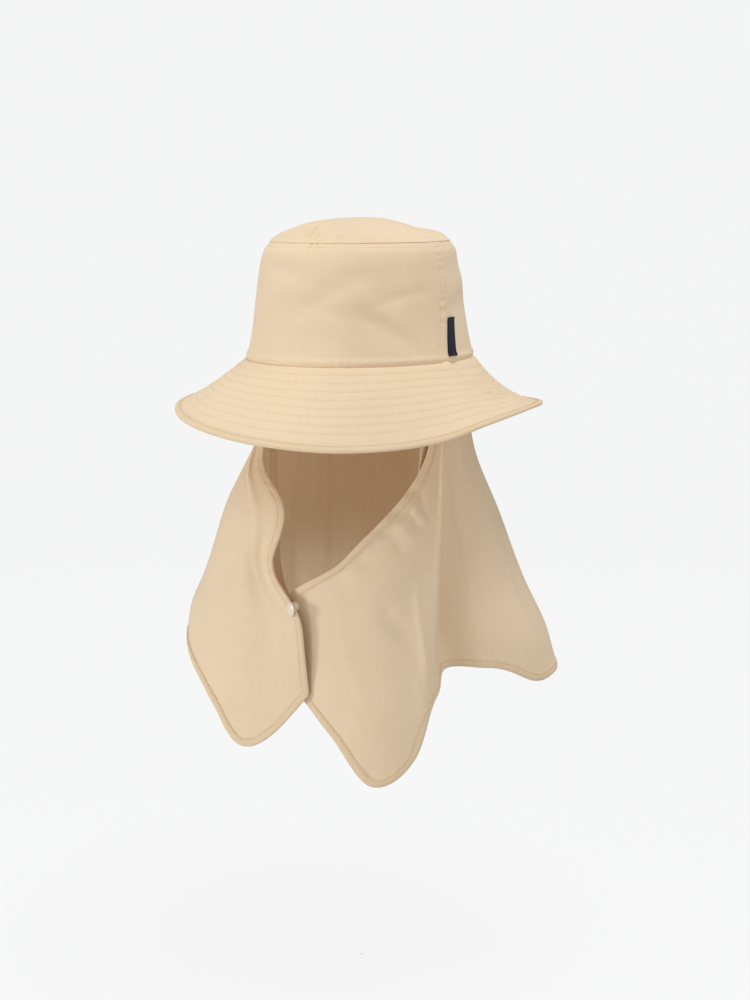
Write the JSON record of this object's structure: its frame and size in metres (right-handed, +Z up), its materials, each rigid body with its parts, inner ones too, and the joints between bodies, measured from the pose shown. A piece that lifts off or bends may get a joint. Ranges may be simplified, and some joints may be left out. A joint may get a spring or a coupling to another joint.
{
  "type": "sun hat with neck cape",
  "caption": "Bucket sun hat of woven cloth with a stitched sloping brim and a hanging neck cape that laps and snaps under the chin.",
  "frame": {"origin": "centre of the head opening, in the plane of the seam between crown and brim", "axes": "+Z up through the crown, -Y towards the face side, +X towards the wearer's left"},
  "size_m": [0.3092, 0.3191, 0.4407],
  "materials": {
    "hat_cloth": "matte plain weave",
    "binding_tape": "matte bias tape",
    "label_tape": "woven navy tape",
    "snap_plastic": "smooth cream plastic"
  },
  "bodies": {
    "root": {"crown_tip": "hat_cloth", "crown_front_panel": "hat_cloth", "crown_back_panel": "hat_cloth", "brim": "hat_cloth", "neck_cape": "hat_cloth", "brim_binding": "binding_tape", "cape_binding": "binding_tape", "chin_strap": "binding_tape", "side_label": "label_tape", "snap_cap": "snap_plastic", "snap_socket": "snap_plastic"}
  },
  "joints": []
}
